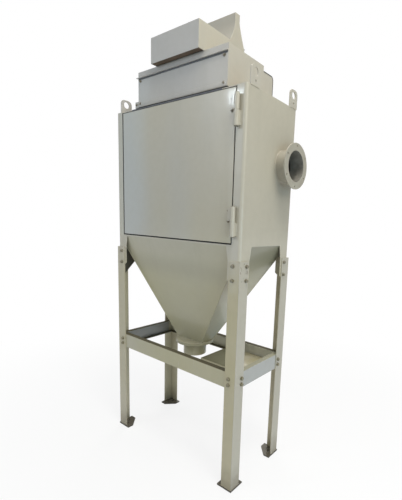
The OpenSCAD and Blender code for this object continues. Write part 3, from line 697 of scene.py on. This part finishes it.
def hex_bolt(across=17.0, head=9.0, washer=24.0, thick=2.4):
    """A bolt head on its washer, standing on the origin and pointing up. Sizes are in millimetres."""
    ring = bar(24, washer / 2, thick)
    edge = ring.modifiers.new("edge", "BEVEL")
    edge.width = 0.5 * MM
    edge.limit_method = "ANGLE"
    bpy.ops.object.modifier_apply(modifier=edge.name)
    top = bar(6, across / 2 / math.cos(math.radians(30)), head, thick)
    crown(top, ((1.2, 0.9), (2.2, -0.5)))
    return joined([ring, top])


def coach_bolt():
    """The low round head of a coach bolt, standing on the origin and pointing up."""
    head = bar(24, 11, 1.2)
    crown(head, ((2.0, 1.2), (3.5, 0.9), (3.5, 0.3)))
    bpy.ops.object.transform_apply(location=True, rotation=True, scale=True)
    return head


def copies(name, model, places, body):
    """One piece made of copies of a model. A place is a point, a way for its top and a turn in degrees."""
    made = []
    for point, way, turned_by in places:
        copy = bpy.data.objects.new(name, model.data.copy())
        bpy.context.scene.collection.objects.link(copy)
        aim = Vector(way).to_track_quat("Z", "Y").to_matrix().to_4x4()
        spin = Matrix.Rotation(math.radians(turned_by), 4, "Z")
        copy.matrix_world = Matrix.Translation(point) @ aim @ spin
        made.append(copy)
    piece = joined(made)
    smooth(piece, 30)
    return settle(piece, name, bolt_coat, body)


def remove(piece):
    """Takes away a model that was only there to be copied."""
    bpy.data.objects.remove(piece, do_unlink=True)


# %% Bolt the legs to the stubs and the rails to the legs
LEG_X, LEG_Y = 576, 261
ROW_X, ROW_Y = 526, 201
BOLT_HEIGHTS = (1392, 1311, 724, 687)
frame_bolts, low_bolts = [], []
for side in (-1, 1):
    for end in (-1, 1):
        for height in BOLT_HEIGHTS:
            bolts = frame_bolts if end < 0 else low_bolts
            bolts.append((spot(side * ROW_X, end * LEG_Y, height), (0, end, 0), 11 * height % 60))
            bolts = frame_bolts if side > 0 else low_bolts
            bolts.append((spot(side * LEG_X, end * ROW_Y, height), (side, 0, 0), 7 * height % 60))
bolt = hex_bolt()
copies("frame_bolts", bolt, frame_bolts, "cabinet")
remove(bolt)
bolt = coach_bolt()
copies("low_bolts", bolt, low_bolts, "cabinet")
remove(bolt)
print("frame bolts:", len(frame_bolts), "and with low heads:", len(low_bolts))

# %% Screw the access panel on
screw = hex_bolt(across=11, head=6, washer=20)
panel_screws = []
for x in (-370, 366):
    for z in (2528, 2387):
        panel_screws.append((spot(x, -206, z), (0, -1, 0), z % 60))
copies("panel_screws", screw, panel_screws, "cabinet")
remove(screw)

# %% [markdown]
# ## Folded strips, turned rings and cords
# Three short ways of making trim. A strip is a flat outline drawn out along one axis, as a folding press
# makes it. A ring is a profile turned round an axis. A cord is a round bar that follows a line of points,
# and with a ripple it becomes a weld bead.

# %% Ways of making trim
RIPPLE = 0.13


def folded(outline, start, end, along="X", edge=0.4):
    """A strip with an outline in millimetres, drawn out along an axis from start to end."""
    shape = bmesh.new()
    corners = []
    for first, second in outline:
        place = {"X": (start, first, second), "Y": (first, start, second), "Z": (first, second, start)}[along]
        corners.append(shape.verts.new(spot(*place)))
    shape.faces.new(corners)
    piece = built(shape, "strip")
    only(piece)
    bpy.ops.object.mode_set(mode="EDIT")
    bpy.ops.mesh.select_all(action="SELECT")
    way = {"X": (1, 0, 0), "Y": (0, 1, 0), "Z": (0, 0, 1)}[along]
    far = Vector(way) * (end - start) * MM
    bpy.ops.mesh.extrude_region_move(TRANSFORM_OT_translate={"value": far})
    bpy.ops.mesh.select_all(action="SELECT")
    bpy.ops.mesh.normals_make_consistent(inside=False)
    bpy.ops.object.mode_set(mode="OBJECT")
    bevel = piece.modifiers.new("edge", "BEVEL")
    bevel.width = edge * MM
    bevel.segments = 2
    bevel.limit_method = "ANGLE"
    bpy.ops.object.modifier_apply(modifier=bevel.name)
    smooth(piece, 40)
    return piece


def turned(profile, place, way=(0, 0, 1), steps=64):
    """A closed profile of radius and height in millimetres, turned round an axis through a place."""
    shape = bmesh.new()
    aim = Matrix.Translation(place) @ Vector(way).to_track_quat("Z", "Y").to_matrix().to_4x4()
    rows = []
    for step in range(steps):
        turn_by = 2 * math.pi * step / steps
        row = []
        for radius, height in profile:
            here = Vector((radius * math.cos(turn_by), radius * math.sin(turn_by), height)) * MM
            row.append(shape.verts.new(aim @ here))
        rows.append(row)
    count = len(profile)
    for step in range(steps):
        near, far = rows[step], rows[(step + 1) % steps]
        for k in range(count):
            shape.faces.new((near[k], far[k], far[(k + 1) % count], near[(k + 1) % count]))
    bmesh.ops.remove_doubles(shape, verts=shape.verts, dist=0.00001)
    bmesh.ops.recalc_face_normals(shape, faces=shape.faces)
    piece = built(shape, "ring")
    smooth(piece, 35)
    return piece


def cord(points, radius, ripple=0.0, step=2.5, sides=8, closed=False):
    """A round bar along points in metres. A ripple makes the overlapping scales of a weld."""
    line = list(points) + ([points[0]] if closed else [])
    stops = []
    for first, second in zip(line, line[1:]):
        length = (second - first).length
        parts = max(1, round(length / (step * MM))) if ripple else 1
        stops += [first.lerp(second, k / parts) for k in range(parts)]
    if not closed:
        stops.append(line[-1])
    shape = bmesh.new()
    rings = []
    last = len(stops) - 1
    side_way = None
    for k, stop in enumerate(stops):
        before = stops[k - 1] if k or closed else stops[0]
        after = stops[(k + 1) % len(stops)] if k < last or closed else stops[last]
        way = (after - before).normalized()
        if side_way is None:
            side_way = way.orthogonal().normalized()
        side_way = (side_way - way * side_way.dot(way)).normalized()
        top_way = way.cross(side_way)
        size = radius * (1 + ripple * ((k % 3) - 1)) * MM
        ring = []
        for side in range(sides):
            angle = 2 * math.pi * side / sides
            around = side_way * math.cos(angle) * size + top_way * math.sin(angle) * size
            ring.append(shape.verts.new(stop + around))
        rings.append(ring)
    pairs = list(zip(rings, rings[1:])) + ([(rings[-1], rings[0])] if closed else [])
    for near, far in pairs:
        for k in range(sides):
            shape.faces.new((near[k], near[(k + 1) % sides], far[(k + 1) % sides], far[k]))
    if not closed:
        shape.faces.new(rings[0][::-1])
        shape.faces.new(rings[-1])
    bmesh.ops.recalc_face_normals(shape, faces=shape.faces)
    piece = built(shape, "cord")
    smooth(piece, 60)
    return piece


def weld(*points, radius=2.6):
    """A weld bead along points in millimetres from the cabinet's middle."""
    return cord([spot(*point) for point in points], radius, ripple=RIPPLE)


def circle(middle, radius, steps=72):
    """Points in metres on an upright circle that faces the inlet's way."""
    ring = []
    for step in range(steps):
        angle = 2 * math.pi * step / steps
        ring.append(middle + Vector((0, math.cos(angle), math.sin(angle))) * radius * MM)
    return ring


# %% [markdown]
# ## Weld beads
# The hopper is welded along its four arrises and round its foot, the inlet to the side panel and to its
# flange, the lugs to the cabinet, the hinge halves to their sheets and the legs to their foot plates.

# %% Weld the hopper, the inlet, the lugs and the feet
FOOT_Z, HEAD_Z = 795, 1500
HOPPER_FOOT = ((-118, -72), (118, -72), (118, 36), (-118, 36))
HOPPER_HEAD = ((-565, -250), (565, -250), (565, 250), (-565, 250))
CLIMB = 0.962
beads = []
for (foot_x, foot_y), (head_x, head_y) in zip(HOPPER_FOOT, HOPPER_HEAD):
    top_x, top_y = foot_x + (head_x - foot_x) * CLIMB, foot_y + (head_y - foot_y) * CLIMB
    top_z = FOOT_Z + (HEAD_Z - FOOT_Z) * CLIMB
    beads.append(weld((foot_x, foot_y, FOOT_Z), (top_x, top_y, top_z), radius=2.4))
beads.append(weld(*[(x, y, 796) for x, y in HOPPER_FOOT], (-118, -72, 796), radius=3.2))
settle(joined(beads), "hopper_welds", hopper_coat, "cabinet")

BEAD_CIRCLE = 93.5
beads = []
for x, radius in ((right_high.x, 3.4), (inlet_low.x, 2.8)):
    middle = Vector((x, inlet_middle.y, inlet_middle.z))
    beads.append(cord(circle(middle, BEAD_CIRCLE), radius, ripple=RIPPLE, closed=True))
settle(joined(beads), "inlet_welds", beige_coat, "cabinet")

LUG_X, LUG_Z = 570.5, 2340
PLATE_Z = 11
beads = []
for side in (-1, 1):
    for middle in (-183, 210):
        beads.append(weld((side * LUG_X, middle - 41, LUG_Z), (side * LUG_X, middle + 27, LUG_Z), radius=2.4))
    for end in (-1, 1):
        corner = (side * LEG_X, end * LEG_Y, PLATE_Z)
        beads.append(weld((side * 496, end * LEG_Y, PLATE_Z), corner, (side * LEG_X, end * 181, PLATE_Z)))
settle(joined(beads), "lug_and_foot_welds", leg_coat, "cabinet")

HINGES = (1636, 2211)
HINGE_Y = -255.5
frame_beads, door_beads = [], []
for height in HINGES:
    frame_beads.append(weld((537, HINGE_Y, height - 76), (537, HINGE_Y, height - 4), radius=2.2))
    door_beads.append(weld((483.5, HINGE_Y, height + 5), (483.5, HINGE_Y, height + 76), radius=2.2))
settle(joined(frame_beads), "hinge_welds_frame", beige_coat, "cabinet")
settle(joined(door_beads), "hinge_welds_door", door_coat, "door")
print("weld beads laid")

# %% [markdown]
# ## Trim of the plenum and the stack
# The access panel ends in a folded hem. A black strip in the recess under it and along the plenum's sides is
# painted shade: it makes the black line above the door, and a grey strip just above the door adds to that
# line. A grey strip under the drip lip is painted shadow, and black rubber edging runs round the low rear
# part's sides.

# %% Trim the plenum
hem = folded([(-205.5, 2395), (-208.5, 2392), (-208.5, 2374), (-206.5, 2369), (-205.5, 2369)], -389, 389)
settle(hem, "panel_hem", upper_coat, "cabinet")
# Painted shade: a black strip in the recess under the hem and along the plenum's sides.
recess_shade = folded([(-205.5, 2367.8), (-205.5, 2361), (-201, 2359), (-194, 2361), (-194, 2367.8)], -394, 394)
side_recess_shades = []
for side in (-1, 1):
    outline = [(394, 2367.8), (394, 2361.5), (388, 2360), (383, 2362), (383, 2367.8)]
    side_recess_shades.append(folded([(side * x, z) for x, z in outline], -194, 226, along="Y"))
settle(joined([recess_shade] + side_recess_shades), "plenum_shade_strip", black_rubber, "cabinet")
# Painted shadow: a grey strip under the drip lip.
lip_shadow_strip = folded([(-206.2, 2544.5), (-208, 2544.5), (-209.5, 2538), (-208, 2535), (-206.2, 2535)], -390, 390)
settle(lip_shadow_strip, "lip_shadow_strip", painted_shade_grey, "cabinet")
# Painted shade: a grey strip just above the door.
apron = folded([(-250.9, 2341), (-253.4, 2340), (-254.2, 2336), (-253.4, 2331.4), (-250.9, 2331)], -398, 398)
settle(apron, "roof_edge_shade_strip", painted_shade_grey, "cabinet")

EDGING_X = 392.5
BEND_Y, BEND_Z, BEND = 209, 2532, 21.5
edging = []
for side in (-1, 1):
    across = side * EDGING_X
    line = [spot(across, 128, BEND_Z + BEND), spot(across, BEND_Y, BEND_Z + BEND)]
    for step in range(1, 6):
        angle = math.radians(18 * step)
        line.append(spot(across, BEND_Y + BEND * math.sin(angle), BEND_Z + BEND * math.cos(angle)))
    line.append(spot(across, BEND_Y + BEND, 2372))
    edging.append(cord(line, 4.0))
settle(joined(edging), "plenum_edging", black_rubber, "cabinet")

outline = [(155.4, 2733), (166, 2733), (166, 2729.5), (159, 2729.5), (159, 2714), (155.4, 2714)]
ledge = folded(outline, -209, 209)
settle(ledge, "stack_ledge", upper_coat, "cabinet")
outline = [(-396, -203), (-431, -203), (-431, -180), (-428, -180), (-428, -206), (-396, -206)]
bracket = folded(outline, 2366, 2404, along="Z")
settle(bracket, "corner_bracket", upper_coat, "cabinet")
print("plenum trimmed")

# %% [markdown]
# ## Painted shade in the door's gap
# A black strip lines the gap round the door, a few millimetres behind its face: it is painted shade, which
# makes the gap a thin dark line. At the sides it also trims the stile's edge. The strip stays on the cabinet
# when the door swings.

# %% Line the gap round the door
STILE_LIPS = {-1: 500.6, 1: 498.7}
strips = []
for side, lip in STILE_LIPS.items():
    outline = [(506.4, -255.1), (506.4, -255.6), (503.4, -255.6), (lip, -252), (lip, -242), (503.8, -241),
               (503.8, -255.1)]
    strips.append(folded([(side * x, y) for x, y in outline], 1514, 2334, along="Z"))
strips.append(folded([(-250, 2334.8), (-250, 2330.0), (-242, 2330.0), (-241, 2334.8)], -503.5, 503.5))
outline = [(-255.1, 1509.6), (-255.6, 1509.6), (-255.6, 1512.6), (-252, 1517.0), (-242, 1517.0),
           (-241, 1512.2), (-255.1, 1512.2)]
strips.append(folded(outline, -503.5, 503.5))
settle(joined(strips), "gap_shade_strip", black_rubber, "cabinet")

# %% Stiffen the door inside and cap the hinge pins
RIB_INSIDE = [(-252, 34), (-250.5, 34), (-250.5, 18), (-234, 14)]
RIB_OUTSIDE = [(-252, 17), (-235.5, 13)]
ribs = []
for height in (1720, 1924, 2128):
    outline = [(y, height - up) for y, up in RIB_INSIDE]
    outline += [(y, height + up) for y, up in reversed(RIB_INSIDE)]
    outline += [(y, height + up) for y, up in RIB_OUTSIDE]
    outline += [(y, height - up) for y, up in reversed(RIB_OUTSIDE)]
    ribs.append(folded(outline, -445, 445))
settle(joined(ribs), "door_ribs", door_coat, "door")

CAP = [(0.01, -3), (9, -3), (9, 0), (11, 0.4), (11, 2.4), (8, 4.4), (0.01, 5.2)]
PIN_X, PIN_Y = 522, -273
caps = []
for height in HINGES:
    for end, way in ((80, 1), (-80, -1)):
        caps.append(turned(CAP, spot(PIN_X, PIN_Y, height + end), (0, 0, way), 32))
settle(joined(caps), "hinge_caps", bolt_coat, "cabinet")
print("door trimmed")

# %% [markdown]
# ## Small bolts
# Two small dark screws sit beside each hinge. Rows of screws hold the back panel and the plenum's back,
# which the photo doesn't show, and the bracket at the plenum's corner has one.

# %% Screws at the hinges, on the back and on the bracket
screw = hex_bolt(across=10, head=5, washer=16)
hinge_screws = []
for height in HINGES:
    for offset in (2, 60):
        hinge_screws.append((spot(476, -255, height + offset), (0, -1, 0), height % 60))
copies("hinge_screws", screw, hinge_screws, "door")
back_screws = [(spot(-412, -206, 2385), (0, -1, 0), 12)]
for x in range(-480, 481, 160):
    for z in (1530, 2310):
        back_screws.append((spot(x, 255, z), (0, 1, 0), (x + z) % 60))
for x in (-490, 490):
    for z in (1690, 1850, 2010, 2170):
        back_screws.append((spot(x, 255, z), (0, 1, 0), (x + z) % 60))
for x in range(-360, 361, 144):
    for z in (2385, 2516):
        back_screws.append((spot(x, 229, z), (0, 1, 0), (x + z) % 60))
copies("small_screws", screw, back_screws, "cabinet")
remove(screw)

# %% Bands round the filter cartridges
BAND = [(155.2, -9), (156.6, -9), (156.6, 9), (155.2, 9)]
bands = []
for x in (-190, 190):
    for height in (1850, 2010, 2170):
        bands.append(turned(BAND, spot(x, 22, height), steps=96))
settle(joined(bands), "filter_bands", cap_steel, "cabinet")
print("screws and bands placed")
